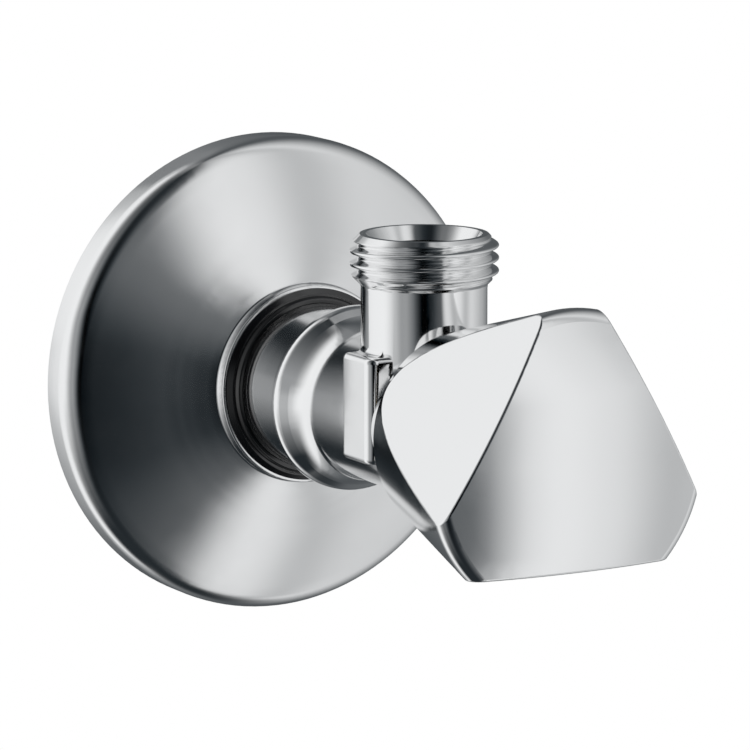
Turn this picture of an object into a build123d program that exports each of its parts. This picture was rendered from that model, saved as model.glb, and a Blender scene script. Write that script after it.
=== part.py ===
from build123d import *
import math
import os

# Wall-mounted angle valve with a three-sided turning handle and a sliding escutcheon.
# The wall is the plane Y = 0, the valve stands out along -Y and the outlet points up along +Z.
# Lengths are in millimetres. A reach is a distance out from the wall, so a reach of 10 is at Y = -10.

# Pipe threads and waterway
thread_diameter = 20.955        # G 1/2 at the inlet and at the outlet
thread_lead_in = 1.0            # chamfer on the inlet end
inlet_length = 14.0             # how far the inlet thread goes into the wall
inlet_bore_radius = 6.0

# Collar, bead and neck of the body
shoulder_reach = 2.0            # where the inlet thread steps up to the collar
collar_radius = 12.1
bead_reach = 27.8               # back of the bead
bead_height = 1.35              # bead above the collar
bead_land = 1.4                 # width of the bead's crest
bead_slope = 3.7                # length of its sloping front
bead_edge_round = 0.45          # at the back of the crest
bead_round = 2.0                # from the crest into the slope
bead_foot_round = 8.0           # sweep from the slope into the neck
neck_radius = 10.8
body_wall = 2.0                 # brass left around the valve chamber

# Outlet branch
outlet_reach = 48.3
outlet_height = 26.35           # top of the outlet above the inlet axis
outlet_neck_radius = 8.87
outlet_wall = 1.8
outlet_thread_length = 5.5
outlet_chamfer = 1.45
outlet_mouth_flare = 1.1        # how far the bore widens at its mouth
outlet_mouth_depth = 2.0
branch_round = 1.8              # fillet where the branch leaves the body

# Spanner flats under the branch
flats_width = 22.6
flats_behind = 3.4              # behind the outlet axis
flats_ahead = 4.6               # in front of it
flats_top = 10.0
flats_drop = 15.0
flats_round = 0.8
flats_front_round = 1.5         # softer front corners
ledge_round = 0.9               # fillet between the flats' top ledge and the branch

# Seat and front of the body
seat_to_outlet = 7.2
seat_height = 1.0
seat_land = 1.2
front_to_outlet = 12.4

# Headwork
thread_clearance = 0.05
running_clearance = 0.05
cut_overrun = 1.0               # how far a cutting tool runs past a face
nose_length = 8.0               # threaded part of the bonnet inside the body
joint_seal_thickness = 1.0
flange_inset = 1.3              # bonnet hexagon inside the body's radius
flange_thickness = 4.0
bonnet_neck_length = 7.0
bonnet_neck_radius = 6.0
guide_width = 9.0               # square guide for the plunger's stem
guide_corner = 0.8
collar_side_gap = 0.15          # spindle collar inside the square guide
bearing_wall = 0.8
spindle_radius = 3.5
spindle_thread_radius = 3.0
spindle_collar_thickness = 1.7
thrust_washer_thickness = 0.6
o_ring_section = 1.0
o_ring_offset = 1.3             # first ring from the back of the bonnet's bore
o_ring_spacing = 3.0
clip_thickness = 0.7
clip_width = 1.1
clip_depth = 0.6
clip_play = 0.15
spline_teeth = 16
spline_depth = 0.35

# Plunger
valve_travel = 4.5
plunger_play = 0.4
stem_clearance = 0.06
seat_washer_thickness = 2.0
seat_washer_radius = 7.3
plunger_disc_thickness = 3.0
plunger_side_gap = 1.2
washer_screw_radius = 1.6
washer_screw_head_radius = 3.2
washer_screw_head_height = 1.4
washer_screw_depth = 2.4

# Handle
handle_overlap = 1.4            # the handle's rim hides this much of the body
handle_gap = 1.65               # free ring between the body and the handle
handle_wall = 1.8
facet_bite = 0.12               # facets stand this far outside the rim
handle_length = 31.7            # rim to the crown of the front
handle_corner_radius = 21.55
handle_corner_round = 2.0
handle_edge_round = 0.4
handle_dome_radius = 92.0
handle_front_wall = 3.8
socket_wall = 2.0
socket_rib = 1.6
insert_radius = 6.4
insert_clearance = 0.05
insert_end_wall = 1.2
snap_height = 0.3
snap_width = 1.0
snap_inset = 3.0
spindle_end_gap = 1.2
insert_gap = 0.6                # insert to the spindle clip

# Escutcheon
escutcheon_radius = 35.3
escutcheon_band = 5.75          # height of the rim where the cone begins
escutcheon_rim_round = 3.6
escutcheon_wall = 1.2
cone_height = 6.0               # from the rim to the knee
cone_swell = 0.2                # how far the cone bulges
knee_width = 4.9                # steeper ring between the cone and the neck
knee_height = 2.85
knee_round = 12.0
neck_height = 0.8
neck_foot_round = 0.6
neck_edge_round = 0.3

# Escutcheon seal, measured out from the collar and up from the neck's edge
seal_depth = 1.3                # radial space for the seal around the collar
seal_length = 3.6
seal_flange_width = 0.75        # flange that lies on the neck's edge
seal_flange_thickness = 0.2
seal_lip_round = 0.2
outer_lip_offset = 1.3
outer_lip_height = 0.85
valley_offset = 0.95
valley_height = 0.8
inner_lip_offset = 0.6
inner_lip_height = 1.4
collar_end_height = 1.25        # where the seal meets the collar

# Worked-out radii
thread_radius = thread_diameter / 2
bead_radius = collar_radius + bead_height
chamber_radius = neck_radius - body_wall
outlet_bore_radius = outlet_neck_radius - outlet_wall
outlet_mouth_radius = outlet_bore_radius + outlet_mouth_flare
spindle_bore_radius = spindle_radius + running_clearance
groove_radius = spindle_bore_radius - o_ring_section
spindle_collar_radius = guide_width / 2 - collar_side_gap
flange_width = 2 * (neck_radius - flange_inset)
handle_rim_radius = neck_radius + handle_gap + handle_wall
facet_apothem = handle_rim_radius + facet_bite
socket_radius = insert_radius + insert_clearance
escutcheon_neck_radius = collar_radius + seal_depth + escutcheon_wall
knee_radius = escutcheon_neck_radius + knee_width

# Worked-out reaches, from the wall to the front
bead_front = bead_reach + bead_land + bead_slope
seat_reach = outlet_reach - seat_to_outlet
body_front = outlet_reach + front_to_outlet
flange_back = body_front + joint_seal_thickness
flange_front = flange_back + flange_thickness
bonnet_front = flange_front + bonnet_neck_length
nose_reach = flange_back - nose_length
guide_end = flange_front - bearing_wall
washer_back = guide_end - thrust_washer_thickness
spindle_collar_front = washer_back - running_clearance
spindle_collar_back = spindle_collar_front - spindle_collar_thickness
clip_back = bonnet_front + clip_play
clip_front = clip_back + clip_thickness
disc_back = seat_reach + seat_washer_thickness
disc_front = disc_back + plunger_disc_thickness
stem_front = spindle_collar_back - valve_travel - plunger_play
spindle_tip = disc_front + valve_travel + 2 * plunger_play
handle_rim = body_front - handle_overlap
handle_front = handle_rim + handle_length
handle_floor = handle_front - handle_front_wall
insert_back = clip_front + insert_gap
spindle_end = handle_floor - insert_end_wall - spindle_end_gap
knee_reach = escutcheon_band + cone_height
cone_end_reach = knee_reach + knee_height
neck_edge_reach = cone_end_reach + neck_height

outlet_axis = Axis((0, -outlet_reach, 0), (0, 0, 1))


def outline(corners):
    """Closed flat outline through (across, along) corners; a third number rounds that corner."""
    points = [corner[:2] for corner in corners]
    roundings = [corner[2] if len(corner) == 3 else 0 for corner in corners]
    return make_face(FilletPolyline(*points, radius=roundings, close=True))


def rounded(section, corner, radius):
    """Flat section with the corner nearest to an (across, along) point rounded."""
    return fillet(section.vertices().sort_by_distance((*corner, 0))[0], radius)


def turned(*corners):
    """Solid turned about the inlet axis from (radius, reach) corners."""
    return revolve(outline([(radius, -reach, *rest) for radius, reach, *rest in corners]), Axis.Y)


def tube(inner, outer, back, front):
    """Plain ring about the inlet axis."""
    return turned((inner, back), (outer, back), (outer, front), (inner, front))


def rod(radius, back, front):
    """Plain cylinder about the inlet axis."""
    return turned((0, back), (radius, back), (radius, front), (0, front))


def upright(*corners):
    """Solid turned about the outlet axis from (radius, height) corners."""
    return revolve(Plane.XZ.offset(outlet_reach) * outline(corners), outlet_axis)


def prism(sketch, back, front):
    """Sketch drawn square to the inlet axis, run from one reach to another."""
    return extrude(Plane.XZ.offset(back) * sketch, amount=front - back)


def serration(tip_radius):
    """Toothed section of the spindle's drive end."""
    points = []
    for step in range(2 * spline_teeth):
        radius = tip_radius - spline_depth * (step % 2)
        angle = math.pi * step / spline_teeth
        points.append((radius * math.cos(angle), radius * math.sin(angle)))
    return make_face(Polyline(*points, close=True))


def o_ring_backs():
    """Reaches where the two spindle seals begin."""
    first = guide_end + o_ring_offset
    return [first, first + o_ring_spacing]


def valve_body():
    """One brass casting: inlet, collar, bead, valve chamber, outlet branch and spanner flats."""
    run = turned(
        (0, -inlet_length),
        (thread_radius - thread_lead_in, -inlet_length),
        (thread_radius, thread_lead_in - inlet_length),
        (thread_radius, shoulder_reach),
        (collar_radius, shoulder_reach),
        (collar_radius, bead_reach),
        (bead_radius, bead_reach, bead_edge_round),
        (bead_radius, bead_reach + bead_land, bead_round),
        (neck_radius, bead_front, bead_foot_round),
        (neck_radius, body_front),
        (0, body_front),
    )
    thread_bottom = outlet_height - outlet_thread_length
    runout = thread_radius - outlet_neck_radius
    branch = upright(
        (0, 0),
        (outlet_neck_radius, 0),
        (outlet_neck_radius, thread_bottom - runout),
        (thread_radius, thread_bottom),
        (thread_radius, outlet_height - outlet_chamfer),
        (thread_radius - outlet_chamfer, outlet_height),
        (0, outlet_height),
    )
    body = run + branch
    body = fillet(new_edges(run, branch, combined=body), branch_round)
    body = body + spanner_flats()

    waterway = turned(
        (0, -inlet_length - cut_overrun),
        (inlet_bore_radius, -inlet_length - cut_overrun),
        (inlet_bore_radius, seat_reach),
        (inlet_bore_radius + seat_land, seat_reach),
        (inlet_bore_radius + seat_land, seat_reach - seat_height),
        (chamber_radius, seat_reach - seat_height),
        (chamber_radius, body_front + cut_overrun),
        (0, body_front + cut_overrun),
    )
    outlet_bore = upright(
        (0, 0),
        (outlet_bore_radius, 0),
        (outlet_bore_radius, outlet_height - outlet_mouth_depth),
        (outlet_mouth_radius, outlet_height),
        (outlet_mouth_radius, outlet_height + cut_overrun),
        (0, outlet_height + cut_overrun),
    )
    return body - waterway - outlet_bore


def spanner_flats():
    """Cross block with a flat on each side, and the fillet from its top ledge into the branch."""
    back = outlet_reach - flats_behind
    front = outlet_reach + flats_ahead
    middle = flats_top - flats_drop / 2
    block = prism(Pos(0, middle) * Rectangle(flats_width, flats_drop), back, front)
    uprights = block.edges().filter_by(Axis.Z).group_by(Axis.Y)
    block = fillet(uprights[0], flats_front_round)
    rear_uprights = block.edges().filter_by(Axis.Z).group_by(Axis.Y)[-1]
    ends = block.faces().filter_by(Axis.Z).edges()
    block = fillet(ends + rear_uprights, flats_round)
    foot_radius = flats_width / 2 - flats_round
    foot = upright(
        (0, flats_top - flats_round),
        (foot_radius, flats_top - flats_round),
        (foot_radius, flats_top),
        (outlet_neck_radius, flats_top, ledge_round),
        (outlet_neck_radius, flats_top + 2 * ledge_round),
        (0, flats_top + 2 * ledge_round),
    )
    ledge = Pos(0, flats_top) * Rectangle(flats_width, 8 * ledge_round)
    slab = prism(ledge, back + flats_round, front - flats_front_round)
    return block + (foot & slab)


def bonnet():
    """Headwork body: threaded nose, hexagon, neck, square stem guide and spindle bore."""
    hexagon = RegularPolygon(flange_width / 2, 6, major_radius=False)
    solid = rod(chamber_radius - thread_clearance, nose_reach, flange_back + flange_thickness / 2)
    solid = solid + prism(hexagon, flange_back, flange_front)
    solid = solid + rod(bonnet_neck_radius, flange_front - flange_thickness / 2, bonnet_front)
    square = RectangleRounded(guide_width, guide_width, guide_corner)
    guide = prism(square, nose_reach - cut_overrun, guide_end)
    spindle_bore = rod(spindle_bore_radius, guide_end - cut_overrun, bonnet_front + cut_overrun)
    return solid - guide - spindle_bore


def joint_seal():
    """Flat ring between the bonnet's hexagon and the body."""
    return tube(chamber_radius, flange_width / 2, body_front, flange_back)


def spindle():
    """Non-rising spindle: thread, thrust collar, sealed shank, clip groove and toothed end."""
    lead = spindle_thread_radius / 4
    solid = turned(
        (0, spindle_tip),
        (spindle_thread_radius - lead, spindle_tip),
        (spindle_thread_radius, spindle_tip + lead),
        (spindle_thread_radius, spindle_collar_back),
        (spindle_collar_radius, spindle_collar_back),
        (spindle_collar_radius, spindle_collar_front),
        (spindle_radius, spindle_collar_front),
        (spindle_radius, clip_front + clip_play),
        (0, clip_front + clip_play),
    )
    solid = solid + prism(serration(spindle_radius), clip_front, spindle_end)
    for back in o_ring_backs():
        solid = solid - tube(groove_radius, spindle_radius + cut_overrun, back, back + o_ring_section)
    clip_groove = tube(spindle_radius - clip_depth, spindle_radius + cut_overrun, clip_back, clip_front)
    return solid - clip_groove


def spindle_o_ring(back):
    """Rubber ring in a spindle groove, squeezed to the section of its groove."""
    inner = groove_radius + running_clearance / 2
    outer = spindle_bore_radius - running_clearance / 2
    corner = o_ring_section / 4
    return turned(
        (inner, back),
        (outer - corner, back),
        (outer, back + corner),
        (outer, back + o_ring_section - corner),
        (outer - corner, back + o_ring_section),
        (inner, back + o_ring_section),
    )


def thrust_washer():
    """Slip washer between the spindle's collar and the bonnet."""
    return tube(spindle_bore_radius, spindle_collar_radius, washer_back, guide_end)


def spindle_clip():
    """Open spring ring that keeps the spindle from being pushed in."""
    inner = spindle_radius - clip_depth + running_clearance
    ring = tube(inner, inner + clip_width, clip_back, clip_front)
    opening = Pos(0, -inner) * Rectangle(inner, 2 * inner)
    return ring - prism(opening, clip_back - cut_overrun, clip_front + cut_overrun)


def plunger():
    """Disc and square stem, threaded inside for the spindle and below for the washer's screw."""
    stem_width = guide_width - 2 * stem_clearance
    stem = RectangleRounded(stem_width, stem_width, guide_corner)
    solid = rod(chamber_radius - plunger_side_gap, disc_back, disc_front)
    solid = solid + prism(stem, disc_front - plunger_disc_thickness / 2, stem_front)
    thread_bore_radius = spindle_thread_radius + thread_clearance
    thread_bore = rod(thread_bore_radius, disc_front + plunger_play, stem_front + cut_overrun)
    screw_bore_radius = washer_screw_radius + thread_clearance
    screw_bore = rod(screw_bore_radius, disc_back - cut_overrun, disc_back + washer_screw_depth)
    return solid - thread_bore - screw_bore


def seat_washer():
    """Rubber disc that closes on the seat."""
    return tube(washer_screw_radius + thread_clearance, seat_washer_radius, seat_reach, disc_back)


def washer_screw():
    """Screw that holds the rubber disc, with a screwdriver slot."""
    head_back = seat_reach - washer_screw_head_height
    slot_depth = washer_screw_head_height / 2
    screw = rod(washer_screw_head_radius, head_back, seat_reach)
    screw = screw + rod(washer_screw_radius, head_back + slot_depth, disc_back + washer_screw_depth)
    slot = Rectangle(3 * washer_screw_head_radius, slot_depth)
    return screw - prism(slot, head_back - cut_overrun, head_back + slot_depth)


def handle_blank(inset):
    """Flared handle form with three facets, its sides moved in by the inset and its front left plain."""
    corner = handle_corner_radius - inset
    rim = handle_rim_radius - inset
    crown = handle_front
    drop = handle_dome_radius - math.sqrt(handle_dome_radius ** 2 - corner ** 2)
    half_drop = handle_dome_radius - math.sqrt(handle_dome_radius ** 2 - corner ** 2 / 4)
    dome = ThreePointArc((0, -crown), (corner / 2, half_drop - crown), (corner, drop - crown))
    sides = Polyline((corner, drop - crown), (rim, -handle_rim), (0, -handle_rim), (0, -crown))
    section = make_face(dome + sides)
    section = rounded(section, (corner, drop - crown), handle_corner_round)
    blank = revolve(section, Axis.Y)
    reach = 4 * handle_corner_radius
    for turn in (30, 150, 270):
        outside = Pos(facet_apothem - inset + reach / 2, 0) * Rectangle(reach, reach)
        blank = blank - prism(Rot(0, 0, turn) * outside, 0, 2 * handle_front)
    return blank


def handle():
    """Hollow handle: three facets on a flared, domed blank, with a ribbed socket inside."""
    blank = handle_blank(0)
    flat_faces = blank.faces().filter_by(GeomType.PLANE)
    facets = [face for face in flat_faces if abs(face.normal_at().Y) < 0.5]
    facet_edges = [edge for facet in facets for edge in facet.edges()]
    shell = fillet(facet_edges, handle_edge_round)

    opening = handle_rim - cut_overrun
    hollow = handle_blank(handle_wall) & rod(2 * handle_corner_radius, opening, handle_floor)
    hollow = hollow + rod(handle_rim_radius - handle_wall, opening, handle_rim + cut_overrun)
    shell = shell - hollow

    socket = rod(socket_radius + socket_wall, insert_back, handle_floor + cut_overrun)
    for turn in (90, 210, 330):
        rib = Pos(handle_corner_radius / 2, 0) * Rectangle(handle_corner_radius, socket_rib)
        socket = socket + prism(Rot(0, 0, turn) * rib, insert_back + socket_wall, handle_floor + cut_overrun)
    socket = socket & handle_blank(handle_wall / 2)
    groove = tube(
        socket_radius - cut_overrun,
        socket_radius + snap_height,
        insert_back + snap_inset,
        insert_back + snap_inset + snap_width,
    )
    return shell + socket - rod(socket_radius, insert_back - cut_overrun, handle_floor) - groove


def handle_insert():
    """Plastic sleeve with a toothed bore and a snap ridge, pressed into the handle's socket."""
    solid = rod(insert_radius, insert_back, handle_floor)
    ridge_back = insert_back + snap_inset + insert_clearance
    ridge_front = insert_back + snap_inset + snap_width - insert_clearance
    solid = solid + tube(insert_radius - cut_overrun, insert_radius + snap_height, ridge_back, ridge_front)
    teeth = serration(spindle_radius + running_clearance)
    return solid - prism(teeth, insert_back - cut_overrun, handle_floor - insert_end_wall)


def escutcheon():
    """Pressed wall cover: rolled rim, slightly swelling cone, steeper knee and a short open neck."""
    wall = escutcheon_wall
    outer = escutcheon_radius
    neck = escutcheon_neck_radius
    slope = math.atan2(cone_height, outer - knee_radius)
    steep = math.atan2(knee_height, knee_width)
    drop = wall / math.cos(slope)
    steep_drop = wall * math.tan(math.pi / 4 - steep / 2)
    rim_corner = (outer, -escutcheon_band)
    knee_corner = (knee_radius, -knee_reach)
    foot_corner = (neck, -cone_end_reach)
    edge_corner = (neck, -neck_edge_reach)
    swell_across = (outer + knee_radius) / 2 + cone_swell * math.sin(slope)
    swell_along = (escutcheon_band + knee_reach) / 2 + cone_swell * math.cos(slope)
    cone = ThreePointArc(rim_corner, (swell_across, -swell_along), knee_corner)
    sides = Polyline(
        knee_corner,
        foot_corner,
        edge_corner,
        (neck - wall, -neck_edge_reach),
        (neck - wall, steep_drop - cone_end_reach),
        (knee_radius, drop - knee_reach),
        (outer - wall, drop - escutcheon_band - wall * math.tan(slope)),
        (outer - wall, 0),
        (outer, 0),
        rim_corner,
    )
    section = make_face(cone + sides)
    section = rounded(section, rim_corner, escutcheon_rim_round)
    section = rounded(section, knee_corner, knee_round)
    section = rounded(section, foot_corner, neck_foot_round)
    section = rounded(section, edge_corner, neck_edge_round)
    return revolve(section, Axis.Y)


def escutcheon_seal():
    """Rubber ring in the escutcheon's neck, with a flange on the neck's edge and two lips."""
    inner = collar_radius + running_clearance
    outer = collar_radius + seal_depth
    flange = outer + seal_flange_width
    edge = neck_edge_reach
    return turned(
        (inner, edge - seal_length),
        (outer, edge - seal_length),
        (outer, edge),
        (flange, edge),
        (flange, edge + seal_flange_thickness),
        (collar_radius + outer_lip_offset, edge + outer_lip_height, seal_lip_round),
        (collar_radius + valley_offset, edge + valley_height),
        (collar_radius + inner_lip_offset, edge + inner_lip_height, seal_lip_round),
        (inner, edge + collar_end_height),
    )


os.makedirs("parts", exist_ok=True)

inner_ring_back, outer_ring_back = o_ring_backs()
pieces = {
    "valve_body": valve_body(),
    "bonnet": bonnet(),
    "joint_seal": joint_seal(),
    "thrust_washer": thrust_washer(),
    "spindle": spindle(),
    "spindle_o_ring_inner": spindle_o_ring(inner_ring_back),
    "spindle_o_ring_outer": spindle_o_ring(outer_ring_back),
    "spindle_clip": spindle_clip(),
    "plunger": plunger(),
    "seat_washer": seat_washer(),
    "washer_screw": washer_screw(),
    "handle": handle(),
    "handle_insert": handle_insert(),
    "escutcheon": escutcheon(),
    "escutcheon_seal": escutcheon_seal(),
}
for name, piece in pieces.items():
    export_step(piece, f"parts/{name}.step")
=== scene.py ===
import math

import bmesh
import bpy
from mathutils import Matrix, Vector


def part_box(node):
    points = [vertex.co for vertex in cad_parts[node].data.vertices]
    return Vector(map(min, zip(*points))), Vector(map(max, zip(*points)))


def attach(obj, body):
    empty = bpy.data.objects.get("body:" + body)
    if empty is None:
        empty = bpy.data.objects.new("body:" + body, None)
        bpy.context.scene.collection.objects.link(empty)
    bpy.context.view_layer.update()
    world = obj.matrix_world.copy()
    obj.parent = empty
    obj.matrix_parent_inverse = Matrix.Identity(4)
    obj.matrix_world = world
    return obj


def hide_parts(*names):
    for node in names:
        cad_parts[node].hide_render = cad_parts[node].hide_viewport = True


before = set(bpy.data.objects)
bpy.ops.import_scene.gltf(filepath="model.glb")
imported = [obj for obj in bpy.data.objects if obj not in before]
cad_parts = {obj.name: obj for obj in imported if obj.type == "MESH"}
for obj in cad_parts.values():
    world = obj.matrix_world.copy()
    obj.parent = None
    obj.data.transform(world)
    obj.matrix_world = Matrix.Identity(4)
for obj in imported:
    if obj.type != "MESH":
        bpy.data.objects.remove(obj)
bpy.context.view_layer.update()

# Sizes in metres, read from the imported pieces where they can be
MM = 0.001
body_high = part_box("valve_body")[1]
handle_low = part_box("handle")[0]

thread_pitch = 1.814 * MM
thread_crest = 20.955 / 2 * MM
thread_root = 18.631 / 2 * MM
thread_round = 0.249 * MM               # rounding of crests and roots
thread_half_angle = math.radians(27.5)
thread_blend = 0.06 * MM                # rounding where the thread runs out
thread_rows = 24                        # rows of faces in one turn of thread
thread_steps = 160                      # faces around a thread

outlet_top = body_high.z
outlet_reach = 48.3 * MM                # outlet axis out from the wall
outlet_neck = 8.87 * MM
outlet_lip = 9.0275 * MM                # outer edge of the outlet's end face
outlet_foot = 0.34 * MM                 # plain neck below the thread's foot cone
outlet_mouth = 8.17 * MM                # edge of the flared bore
outlet_cut = 18.9 * MM                  # height where the turned thread starts
outlet_crest_height = 23.907 * MM       # a crest on the left edge as the camera sees it
outlet_crest_angle = math.radians(150.8)

inlet_end = body_high.y
inlet_shoulder = 2.0 * MM               # reach where the thread meets the collar
inlet_bore = 6.0 * MM
inlet_lip = 9.4775 * MM
inlet_foot = 1.2 * MM                   # plain undercut next to the collar
handle_dome_radius = 92.0 * MM
crown_radius = 12.0 * MM                # part of the front that is plainly the dome
dome_match = 0.7
seam_match = math.cos(math.radians(15))  # cover surfaces that meet at less than this angle shade as one
sharp_angle = math.radians(34)          # edges that are sharper than this stay sharp
merge_distance = 0.001 * MM
seam_step = 0.04 * MM                   # step between the casting's neck and its thread
ring_reach = 0.2 * MM                   # how closely an open ring has to be where it is looked for
strip_margin = 0.1 * MM                 # kept next to what is stripped off the casting

# Front of the wall cover, where its knee goes over into the neck
cover_neck = 14.6 * MM
cover_neck_foot = 14.0 * MM             # reach behind which the wall is the knee's back
knee_start = 20.6 * MM
knee_blend = 2.2 * MM
knee_ease = 0.20                        # how much flatter the knee is drawn than the solid's
neck_margin = 0.01 * MM

# Floor and lamp
floor_height = -0.15
floor_radius = 0.60
floor_fade_start = 0.12                 # the floor goes over to the white background between these radii
floor_fade_end = 0.30
lamp_place = Vector((0.15, -0.35, 0.75))
lamp_size = 0.60
lamp_power = 4.5

# Light around the valve by direction: degrees from the front toward the right, and how light it is there
wall_levels = [
    (-180, 0.217), (-175, 0.28), (-165, 0.40), (-156, 0.57), (-150, 0.84), (-117, 0.92), (-101, 0.88),
    (-89, 0.66), (-75, 0.37), (-60, 0.31), (-47, 0.12), (-36, 0.004), (-20, 0.008), (-10, 0.045),
    (1, 0.12), (10, 0.16), (14, 0.36), (19, 0.67), (25, 0.84), (34, 0.81), (42, 0.70), (52, 0.51),
    (65, 0.68), (79, 0.61), (93, 0.49), (107, 0.38), (130, 0.20), (152, 0.085), (175, 0.16), (180, 0.217),
]
# Height on the unit sphere, and the degrees by which the light there is turned
wall_leans = [
    (-1.0, 6.0), (-0.75, 6.0), (-0.60, 5.0), (-0.42, -2.5), (-0.17, 0.0), (0.0, 0.0),
    (0.16, 8.0), (0.29, 15.0),
]
lean_least = -5.0
lean_most = 15.0
# Shade of the upper and lower left, by height, distance to the left and distance ahead on the unit sphere
shade_middle = 0.08
shade_climb = (0.25, 0.95)
shade_left = (0.35, -0.25)
shade_ahead = (0.55, 0.15)
shade_ends = (0.94, 1.08)
shade_level = 0.02

# Sockets of a Mix node that mixes colours
mix_share = 0
mix_first = 6
mix_second = 7
mix_result = 2

# Camera as the photograph was taken, angles in degrees
camera_azimuth = -29.19
camera_elevation = 9.80
camera_distance = 723.757 * MM
camera_target = Vector((5.177, -25.0, 2.334)) * MM
camera_focal_pixels = 5000.0
picture_pixels = 750.0
sensor_width = 36.0


def new_material(name):
    """Node material with an empty Principled shader and Object coordinates."""
    material = bpy.data.materials.new(name)
    material.use_nodes = True
    nodes = material.node_tree.nodes
    shader = nodes["Principled BSDF"]
    place = nodes.new("ShaderNodeTexCoord")
    return material, nodes, material.node_tree.links, shader, place


def polish(name, colour, smooth, rough, grain, ripple):
    """Plated metal: roughness that drifts a little and a very fine ripple left by polishing."""
    material, nodes, links, shader, place = new_material(name)
    shader.inputs["Base Color"].default_value = (*colour, 1.0)
    shader.inputs["Metallic"].default_value = 1.0
    drift = nodes.new("ShaderNodeTexNoise")
    drift.inputs["Scale"].default_value = grain
    drift.inputs["Detail"].default_value = 4.0
    links.new(place.outputs["Object"], drift.inputs["Vector"])
    spread = nodes.new("ShaderNodeMapRange")
    spread.inputs["From Min"].default_value = 0.3
    spread.inputs["From Max"].default_value = 0.7
    spread.inputs["To Min"].default_value = smooth
    spread.inputs["To Max"].default_value = rough
    links.new(drift.outputs["Fac"], spread.inputs["Value"])
    links.new(spread.outputs["Result"], shader.inputs["Roughness"])
    wave = nodes.new("ShaderNodeTexNoise")
    wave.inputs["Scale"].default_value = grain / 2
    wave.inputs["Detail"].default_value = 1.0
    links.new(place.outputs["Object"], wave.inputs["Vector"])
    bump = nodes.new("ShaderNodeBump")
    bump.inputs["Strength"].default_value = ripple
    bump.inputs["Distance"].default_value = 0.02 * MM
    links.new(wave.outputs["Fac"], bump.inputs["Height"])
    links.new(bump.outputs["Normal"], shader.inputs["Normal"])
    return material


def moulded(name, dark, light, rough, gloss, grain, relief):
    """Rubber or plastic: colour that varies slightly and a fine moulded grain."""
    material, nodes, links, shader, place = new_material(name)
    shader.inputs["Roughness"].default_value = rough
    shader.inputs["Specular IOR Level"].default_value = gloss
    mottle = nodes.new("ShaderNodeTexNoise")
    mottle.inputs["Scale"].default_value = grain
    mottle.inputs["Detail"].default_value = 6.0
    links.new(place.outputs["Object"], mottle.inputs["Vector"])
    ramp = nodes.new("ShaderNodeValToRGB")
    ramp.color_ramp.elements[0].color = (*dark, 1.0)
    ramp.color_ramp.elements[1].color = (*light, 1.0)
    links.new(mottle.outputs["Fac"], ramp.inputs["Fac"])
    links.new(ramp.outputs["Color"], shader.inputs["Base Color"])
    bump = nodes.new("ShaderNodeBump")
    bump.inputs["Strength"].default_value = relief
    bump.inputs["Distance"].default_value = 0.03 * MM
    links.new(mottle.outputs["Fac"], bump.inputs["Height"])
    links.new(bump.outputs["Normal"], shader.inputs["Normal"])
    return material


chrome = (0.90, 0.90, 0.90)
black = (0.002, 0.002, 0.002)
finishes = {
    "chrome_body": polish("polished_chrome_body", chrome, 0.07, 0.11, 300.0, 0.02),
    "chrome_handle": polish("polished_chrome_handle", chrome, 0.05, 0.08, 260.0, 0.02),
    "chrome_escutcheon": polish("polished_chrome_cover", chrome, 0.12, 0.17, 200.0, 0.02),
    "bare_brass": polish("turned_brass", (0.78, 0.57, 0.26), 0.22, 0.34, 900.0, 0.2),
    "spring_steel": polish("spring_steel", (0.46, 0.46, 0.47), 0.25, 0.38, 900.0, 0.2),
    "white_plastic": moulded("white_plastic", (0.74, 0.73, 0.70), (0.82, 0.81, 0.79), 0.42, 0.5, 1500.0, 0.3),
    "seal_rubber": moulded("seal_rubber", black, (0.004, 0.004, 0.005), 0.15, 1.0, 2500.0, 0.02),
}
node_slots = {
    "valve_body": "chrome_body",
    "handle": "chrome_handle",
    "escutcheon": "chrome_escutcheon",
    "bonnet": "bare_brass",
    "spindle": "bare_brass",
    "plunger": "bare_brass",
    "thrust_washer": "white_plastic",
    "spindle_clip": "spring_steel",
    "washer_screw": "spring_steel",
    "handle_insert": "white_plastic",
    "joint_seal": "seal_rubber",
    "seat_washer": "seal_rubber",
    "spindle_o_ring_inner": "seal_rubber",
    "spindle_o_ring_outer": "seal_rubber",
    "escutcheon_seal": "seal_rubber",
}


def dress(item, slot):
    """Give a piece or a node the finish of its slot."""
    item.data.materials.clear()
    item.data.materials.append(finishes[slot])


def finish_piece(bm, name, body, slot, nodes):
    """Turn a bmesh into a named piece that rides on a body in place of CAD nodes."""
    mesh = bpy.data.meshes.new(name)
    for face in bm.faces:
        face.smooth = True
    bm.to_mesh(mesh)
    bm.free()
    if mesh.has_custom_normals:
        mesh.attributes.remove(mesh.attributes["custom_normal"])
    mesh.set_sharp_from_angle(angle=sharp_angle)
    true_normals = mesh.attributes.get("true_normal")
    if true_normals:
        mesh.normals_split_custom_set([corner.vector for corner in true_normals.data])
        mesh.attributes.remove(mesh.attributes["true_normal"])
    piece = bpy.data.objects.new(name, mesh)
    bpy.context.scene.collection.objects.link(piece)
    dress(piece, slot)
    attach(piece, body)
    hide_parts(*nodes)
    return piece


def merged_copy(node):
    """bmesh of a CAD node with its triangles joined and its surface normals kept on the corners."""
    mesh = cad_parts[node].data
    bm = bmesh.new()
    bm.from_mesh(mesh)
    layer = bm.loops.layers.float_vector.new("true_normal")
    corners = (corner for face in bm.faces for corner in face.loops)
    for corner, normal in zip(corners, mesh.corner_normals):
        corner[layer] = normal.vector
    bmesh.ops.remove_doubles(bm, verts=bm.verts, dist=merge_distance)
    return bm


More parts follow.
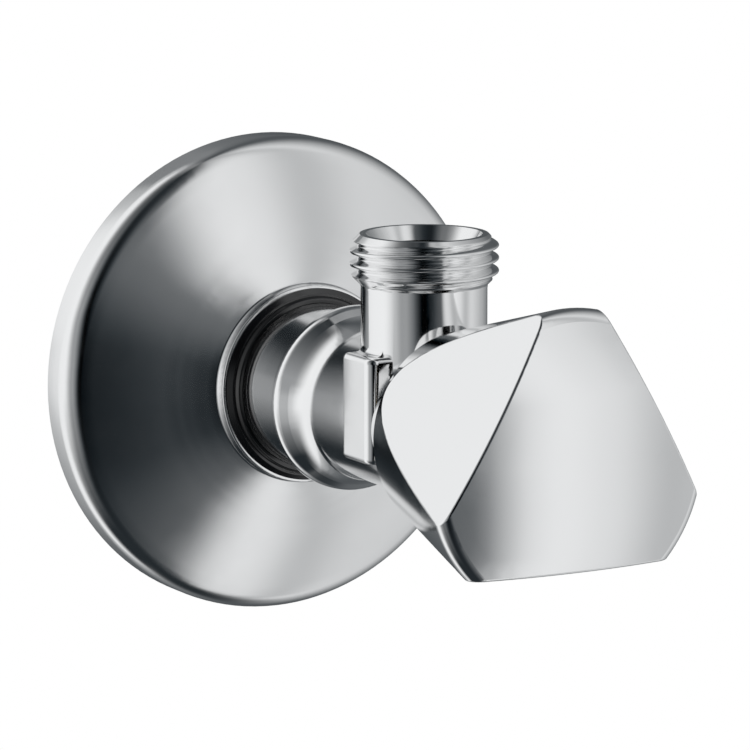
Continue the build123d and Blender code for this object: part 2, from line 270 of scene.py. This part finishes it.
def even_seams(bm, layer):
    """Even out the surface normals where smooth surfaces meet."""
    for vert in bm.verts:
        corners = list(vert.link_loops)
        normals = [corner[layer].copy() for corner in corners]
        weighed = [normal * corner.calc_angle() for corner, normal in zip(corners, normals)]
        for corner, normal in zip(corners, normals):
            near = [share for other, share in zip(normals, weighed) if other.dot(normal) > seam_match]
            corner[layer] = sum(near, Vector()).normalized()


def chromed_handle():
    """Handle with its surface normals, and a clean crown where the front's triangles meet."""
    bm = merged_copy("handle")
    layer = bm.loops.layers.float_vector["true_normal"]
    dome_centre = Vector((0.0, handle_low.y + handle_dome_radius, 0.0))
    for face in bm.faces:
        for corner in face.loops:
            outward = (corner.vert.co - dome_centre).normalized()
            if outward.dot(corner[layer]) > dome_match and corner.vert.co.xz.length < crown_radius:
                corner[layer] = outward
    return finish_piece(bm, "handle_chromed", "handle", "chrome_handle", ["handle"])


def knee_drop(radius):
    """How far the knee is drawn back at a radius, and how steeply that changes."""
    run = max(knee_start - radius, 0.0)
    if run < knee_blend:
        return knee_ease * run ** 2 / (2 * knee_blend), knee_ease * run / knee_blend
    return knee_ease * (run - knee_blend / 2), knee_ease


def chromed_cover():
    """Wall cover with a flatter knee, so that its neck stands clear of the cone all round."""
    bm = merged_copy("escutcheon")
    layer = bm.loops.layers.float_vector["true_normal"]
    even_seams(bm, layer)
    knee = []
    for vert in bm.verts:
        if vert.co.xz.length > cover_neck + neck_margin or -vert.co.y < cover_neck_foot:
            knee.append(vert)
    for vert in knee:
        outward = Vector((vert.co.x, 0.0, vert.co.z)).normalized()
        drop, steepness = knee_drop(max(vert.co.xz.length, cover_neck))
        for corner in vert.link_loops:
            corner[layer] = (corner[layer] + outward * (corner[layer].y * steepness)).normalized()
        vert.co.y += drop
    return finish_piece(bm, "escutcheon_chromed", "cover", "chrome_escutcheon", ["escutcheon"])


def thread_radius(turns):
    """Radius of the pipe thread: flat flanks between a rounded crest, at whole turns, and a rounded root."""
    along = abs(turns - round(turns)) * thread_pitch
    middle = (thread_crest + thread_root) / 2
    flank = middle + (thread_pitch / 4 - along) / math.tan(thread_half_angle)
    from_root = thread_pitch / 2 - along
    tangent = thread_round * math.cos(thread_half_angle)
    if along < tangent:
        return thread_crest - thread_round + math.sqrt(thread_round ** 2 - along ** 2)
    if from_root < tangent:
        return thread_root + thread_round - math.sqrt(thread_round ** 2 - from_root ** 2)
    return flank


def soft_least(*radii):
    """Least of some radii, with a small rounding where they are nearly the same."""
    return -thread_blend * math.log(sum(math.exp(-radius / thread_blend) for radius in radii))


def thread_sleeve(length, foot_radius, foot_length, lip_radius, crest_height, crest_angle):
    """bmesh of a right-hand thread's outside along +Z, from a foot cone at 0 to a chamfered lip."""
    bm = bmesh.new()
    row = thread_pitch / thread_rows
    rows = math.ceil((length + 2 * thread_pitch) / row)
    crest_start = crest_height - thread_pitch * crest_angle / (2 * math.pi)
    start = crest_start - thread_pitch * math.ceil(crest_start / thread_pitch + 1)
    foot = bm.verts.new((thread_crest, 0.0, start))
    tip = bmesh.ops.extrude_vert_indiv(bm, verts=[foot])["verts"][0]
    tip.co.z += rows * row
    bmesh.ops.subdivide_edges(bm, edges=bm.edges[:], cuts=rows - 1)
    bmesh.ops.spin(
        bm,
        geom=bm.verts[:] + bm.edges[:],
        cent=(0.0, 0.0, 0.0),
        axis=(0.0, 0.0, 1.0),
        dvec=(0.0, 0.0, thread_pitch / thread_steps),
        angle=2 * math.pi,
        steps=thread_steps,
    )
    for vert in bm.verts:
        angle = math.atan2(vert.co.y, vert.co.x)
        height = min(max(vert.co.z, 0.0), length)
        turns = (height - crest_height) / thread_pitch - (angle - crest_angle) / (2 * math.pi)
        foot_cone = foot_radius + max(height - foot_length, 0.0)
        lip_cone = lip_radius + length - height
        radius = soft_least(thread_radius(turns), foot_cone, lip_cone)
        vert.co = (radius * math.cos(angle), radius * math.sin(angle), height)
    bmesh.ops.remove_doubles(bm, verts=bm.verts, dist=merge_distance)
    return bm


def join_sleeve(bm, sleeve, place):
    """Add a thread sleeve to a bmesh at a place."""
    bmesh.ops.transform(sleeve, matrix=place, verts=sleeve.verts)
    carrier = bpy.data.meshes.new("thread_sleeve")
    sleeve.to_mesh(carrier)
    sleeve.free()
    bm.from_mesh(carrier)
    bpy.data.meshes.remove(carrier)


def fill_rings(bm, place, height, radii):
    """Fill the flat ring between two open circles at a height along the place's +Z."""
    inverse = place.inverted()
    edges = []
    for edge in bm.edges:
        spots = [inverse @ vert.co for vert in edge.verts]
        level = all(abs(spot.z - height) < ring_reach for spot in spots)
        on_ring = any(
            all(abs(spot.xy.length - radius) < ring_reach for spot in spots)
            for radius in radii
        )
        if edge.is_boundary and level and on_ring:
            edges.append(edge)
    bmesh.ops.triangle_fill(bm, use_beauty=True, use_dissolve=False, edges=edges)


def strip_outside(bm, place, height, radius):
    """Delete the faces beyond a height along the place's +Z and outside a radius."""
    inverse = place.inverted()
    loose = []
    for face in bm.faces:
        spots = [inverse @ vert.co for vert in face.verts]
        beyond = (inverse @ face.calc_center_median()).z > height
        if beyond and max(spot.xy.length for spot in spots) > radius:
            loose.append(face)
    bmesh.ops.delete(bm, geom=loose, context="FACES")


def valve_body_with_threads():
    """Body casting with true screw threads cut on its outlet and its inlet."""
    bm = merged_copy("valve_body")

    outlet = Matrix.Translation((0.0, -outlet_reach, outlet_cut))
    bmesh.ops.bisect_plane(
        bm,
        geom=bm.verts[:] + bm.edges[:] + bm.faces[:],
        dist=merge_distance,
        plane_co=outlet.translation,
        plane_no=(0.0, 0.0, 1.0),
    )
    strip_outside(bm, outlet, 0.0, outlet_mouth + strip_margin)
    outlet_length = outlet_top - outlet_cut
    crest = outlet_crest_height - outlet_cut
    foot = outlet_neck + seam_step
    sleeve = thread_sleeve(outlet_length, foot, outlet_foot, outlet_lip, crest, outlet_crest_angle)
    join_sleeve(bm, sleeve, outlet)
    fill_rings(bm, outlet, 0.0, (outlet_neck, foot))
    fill_rings(bm, outlet, outlet_length, (outlet_lip, outlet_mouth))

    inlet = Matrix.Translation((0.0, -inlet_shoulder, 0.0)) @ Matrix.Rotation(-math.pi / 2, 4, "X")
    strip_outside(bm, inlet, strip_margin, inlet_bore + strip_margin)
    inlet_length = inlet_end + inlet_shoulder
    sleeve = thread_sleeve(inlet_length, thread_root, inlet_foot, inlet_lip, 0.0, 0.0)
    join_sleeve(bm, sleeve, inlet)
    fill_rings(bm, inlet, 0.0, (thread_crest, thread_root))
    fill_rings(bm, inlet, inlet_length, (inlet_lip, inlet_bore))
    bmesh.ops.recalc_face_normals(bm, faces=bm.faces)
    return finish_piece(bm, "valve_body_chromed", "valve", "chrome_body", ["valve_body"])


for node, slot in node_slots.items():
    dress(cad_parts[node], slot)
valve_body_with_threads()
chromed_handle()
chromed_cover()


def cool_grey(level):
    """Grey with the slight blue cast of the studio, which shows most in its dark parts."""
    cast = level / (level + 0.02)
    return (level, level + 0.010 * cast, level + 0.018 * cast, 1.0)


def level_ramp(nodes, interpolation, stops):
    """Colour ramp of greys from pairs of a position and a level."""
    node = nodes.new("ShaderNodeValToRGB")
    ramp = node.color_ramp
    ramp.interpolation = interpolation
    while len(ramp.elements) < len(stops):
        ramp.elements.new(0.5)
    for element, (position, level) in zip(ramp.elements, stops):
        element.position = position
        element.color = cool_grey(level)
    return node


def math_node(nodes, links, operation, first, second):
    """Math node; its inputs are sockets or plain values."""
    node = nodes.new("ShaderNodeMath")
    node.operation = operation
    for socket, value in zip(node.inputs, (first, second)):
        if isinstance(value, bpy.types.NodeSocket):
            links.new(value, socket)
        else:
            socket.default_value = value
    return node.outputs["Value"]


def range_node(nodes, links, value, start, end, low=0.0, high=1.0, interpolation="LINEAR"):
    """Map Range node from a start and an end to a low and a high value."""
    node = nodes.new("ShaderNodeMapRange")
    node.interpolation_type = interpolation
    node.inputs["From Min"].default_value = start
    node.inputs["From Max"].default_value = end
    node.inputs["To Min"].default_value = low
    node.inputs["To Max"].default_value = high
    links.new(value, node.inputs["Value"])
    return node.outputs["Result"]


def wall_light(nodes, links, sideways, inward, upward):
    """Light of the tent's walls, which depends on the direction around the valve and leans with height."""
    turn = math_node(nodes, links, "ARCTAN2", sideways, math_node(nodes, links, "MULTIPLY", inward, -1.0))
    span = lean_most - lean_least
    leans = [(rise / 2 + 0.5, (lean - lean_least) / span) for rise, lean in wall_leans]
    bend = level_ramp(nodes, "LINEAR", leans)
    links.new(range_node(nodes, links, upward, -1.0, 1.0), bend.inputs["Fac"])
    least = math.radians(lean_least)
    most = math.radians(lean_most)
    lean = range_node(nodes, links, bend.outputs["Color"], 0.0, 1.0, least, most)
    leaning = math_node(nodes, links, "ADD", turn, lean)
    walls = level_ramp(nodes, "CARDINAL", [(turned / 360 + 0.5, level) for turned, level in wall_levels])
    links.new(range_node(nodes, links, leaning, -math.pi, math.pi), walls.inputs["Fac"])
    return walls.outputs["Color"]


def corner_shade(nodes, links, sideways, inward, upward):
    """Share of shade toward the left's upper and lower corners, and at the very bottom."""
    middle = math_node(nodes, links, "SUBTRACT", upward, shade_middle)
    steep = math_node(nodes, links, "ABSOLUTE", middle, 0.0)
    climb = range_node(nodes, links, steep, *shade_climb)
    left = range_node(nodes, links, sideways, *shade_left, interpolation="SMOOTHSTEP")
    ahead = range_node(nodes, links, inward, *shade_ahead, interpolation="SMOOTHSTEP")
    corner = math_node(nodes, links, "MULTIPLY", left, ahead)
    shade = math_node(nodes, links, "MULTIPLY", climb, corner)
    ends = range_node(nodes, links, steep, *shade_ends, interpolation="SMOOTHSTEP")
    return math_node(nodes, links, "MAXIMUM", shade, ends)


def studio_world():
    """White to the camera; to the metal, a white tent with a dark flag beside the camera and grey walls."""
    world = bpy.data.worlds.new("studio_tent")
    world.use_nodes = True
    nodes = world.node_tree.nodes
    links = world.node_tree.links
    nodes.clear()
    place = nodes.new("ShaderNodeTexCoord")
    parts = nodes.new("ShaderNodeSeparateXYZ")
    links.new(place.outputs["Generated"], parts.inputs["Vector"])
    direction = [parts.outputs[axis] for axis in "XYZ"]
    walls = wall_light(nodes, links, *direction)
    shade = corner_shade(nodes, links, *direction)
    tent = nodes.new("ShaderNodeMix")
    tent.data_type = "RGBA"
    tent.inputs[mix_second].default_value = cool_grey(shade_level)
    links.new(shade, tent.inputs[mix_share])
    links.new(walls, tent.inputs[mix_first])
    light = nodes.new("ShaderNodeBackground")
    links.new(tent.outputs[mix_result], light.inputs["Color"])
    seen = nodes.new("ShaderNodeBackground")
    seen.inputs["Color"].default_value = (1.0, 1.0, 1.0, 1.0)
    ray = nodes.new("ShaderNodeLightPath")
    choice = nodes.new("ShaderNodeMixShader")
    links.new(ray.outputs["Is Camera Ray"], choice.inputs[0])
    links.new(light.outputs["Background"], choice.inputs[1])
    links.new(seen.outputs["Background"], choice.inputs[2])
    output = nodes.new("ShaderNodeOutputWorld")
    links.new(choice.outputs["Shader"], output.inputs["Surface"])
    bpy.context.scene.world = world


def pale_floor():
    """Pale matt floor well below the valve that fades into the white background."""
    material, nodes, links, shader, place = new_material("pale_floor")
    shader.inputs["Base Color"].default_value = (0.86, 0.86, 0.86, 1.0)
    shader.inputs["Roughness"].default_value = 0.9
    distance = nodes.new("ShaderNodeVectorMath")
    distance.operation = "LENGTH"
    links.new(place.outputs["Object"], distance.inputs[0])
    fade = nodes.new("ShaderNodeMapRange")
    fade.interpolation_type = "SMOOTHSTEP"
    fade.inputs["From Min"].default_value = math.hypot(floor_fade_start, floor_height)
    fade.inputs["From Max"].default_value = math.hypot(floor_fade_end, floor_height)
    links.new(distance.outputs["Value"], fade.inputs["Value"])
    ray = nodes.new("ShaderNodeLightPath")
    share = nodes.new("ShaderNodeMath")
    share.operation = "MULTIPLY"
    links.new(ray.outputs["Is Camera Ray"], share.inputs[0])
    links.new(fade.outputs["Result"], share.inputs[1])
    white = nodes.new("ShaderNodeEmission")
    choice = nodes.new("ShaderNodeMixShader")
    links.new(share.outputs["Value"], choice.inputs[0])
    links.new(shader.outputs["BSDF"], choice.inputs[1])
    links.new(white.outputs["Emission"], choice.inputs[2])
    links.new(choice.outputs["Shader"], nodes["Material Output"].inputs["Surface"])
    bm = bmesh.new()
    level = Matrix.Translation((0.0, 0.0, floor_height))
    bmesh.ops.create_circle(bm, cap_ends=True, segments=96, radius=floor_radius, matrix=level)
    mesh = bpy.data.meshes.new("pale_floor")
    bm.to_mesh(mesh)
    bm.free()
    mesh.materials.append(material)
    floor = bpy.data.objects.new("pale_floor", mesh)
    bpy.context.scene.collection.objects.link(floor)
    floor.visible_glossy = False


def soft_lamp():
    """Large soft lamp above and in front, for the rubber, the plastic and the floor."""
    data = bpy.data.lights.new("soft_lamp", "AREA")
    data.size = lamp_size
    data.energy = lamp_power
    lamp = bpy.data.objects.new("soft_lamp", data)
    lamp.location = lamp_place
    lamp.rotation_mode = "QUATERNION"
    lamp.rotation_quaternion = (-lamp_place).to_track_quat("-Z", "Y")
    lamp.visible_glossy = False
    bpy.context.scene.collection.objects.link(lamp)


def add_camera():
    """Camera on the photograph's line of sight."""
    azimuth = math.radians(camera_azimuth)
    elevation = math.radians(camera_elevation)
    sight = Vector((
        -math.sin(azimuth) * math.cos(elevation),
        math.cos(azimuth) * math.cos(elevation),
        -math.sin(elevation),
    ))
    data = bpy.data.cameras.new("photo_camera")
    data.sensor_width = sensor_width
    data.lens = camera_focal_pixels / picture_pixels * sensor_width
    data.clip_start = 0.05
    camera = bpy.data.objects.new("photo_camera", data)
    camera.location = camera_target - sight * camera_distance
    camera.rotation_mode = "QUATERNION"
    camera.rotation_quaternion = sight.to_track_quat("-Z", "Y")
    bpy.context.scene.collection.objects.link(camera)
    bpy.context.scene.camera = camera


studio_world()
pale_floor()
soft_lamp()
add_camera()
bpy.context.scene.view_settings.view_transform = "Standard"
